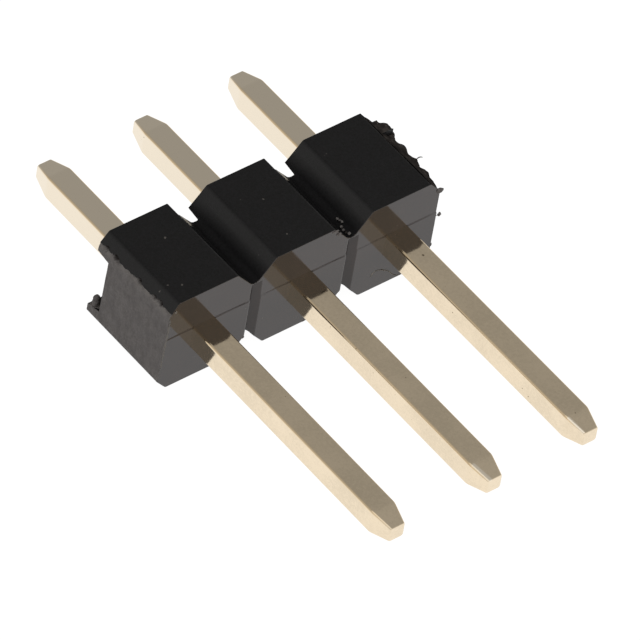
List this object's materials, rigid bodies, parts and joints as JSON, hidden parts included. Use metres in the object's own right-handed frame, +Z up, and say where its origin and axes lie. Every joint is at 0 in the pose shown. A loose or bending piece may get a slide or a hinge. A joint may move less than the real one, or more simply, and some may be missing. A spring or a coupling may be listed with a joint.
{
  "type": "pin header strip",
  "caption": "Broken-off length of break-away pin header: a black moulded insulator with square gold-plated pins, long mating posts on one side and short solder tails on the other.",
  "frame": {"origin": "middle of the middle cell's underside, on the face that the strip lies on", "axes": "+X along the row of pins, +Y out of the solder tails, -Y out of the mating posts, +Z up from the underside"},
  "size_m": [0.0075, 0.012, 0.0025],
  "materials": {
    "moulding": "black moulded thermoplastic, glossy on the moulded faces and matt grey where it was sheared or snapped",
    "plated_pin": "bright gold flash over nickel"
  },
  "bodies": {
    "root": {"body": "moulding", "pin_1": "plated_pin", "pin_2": "plated_pin", "pin_3": "plated_pin"}
  },
  "joints": []
}
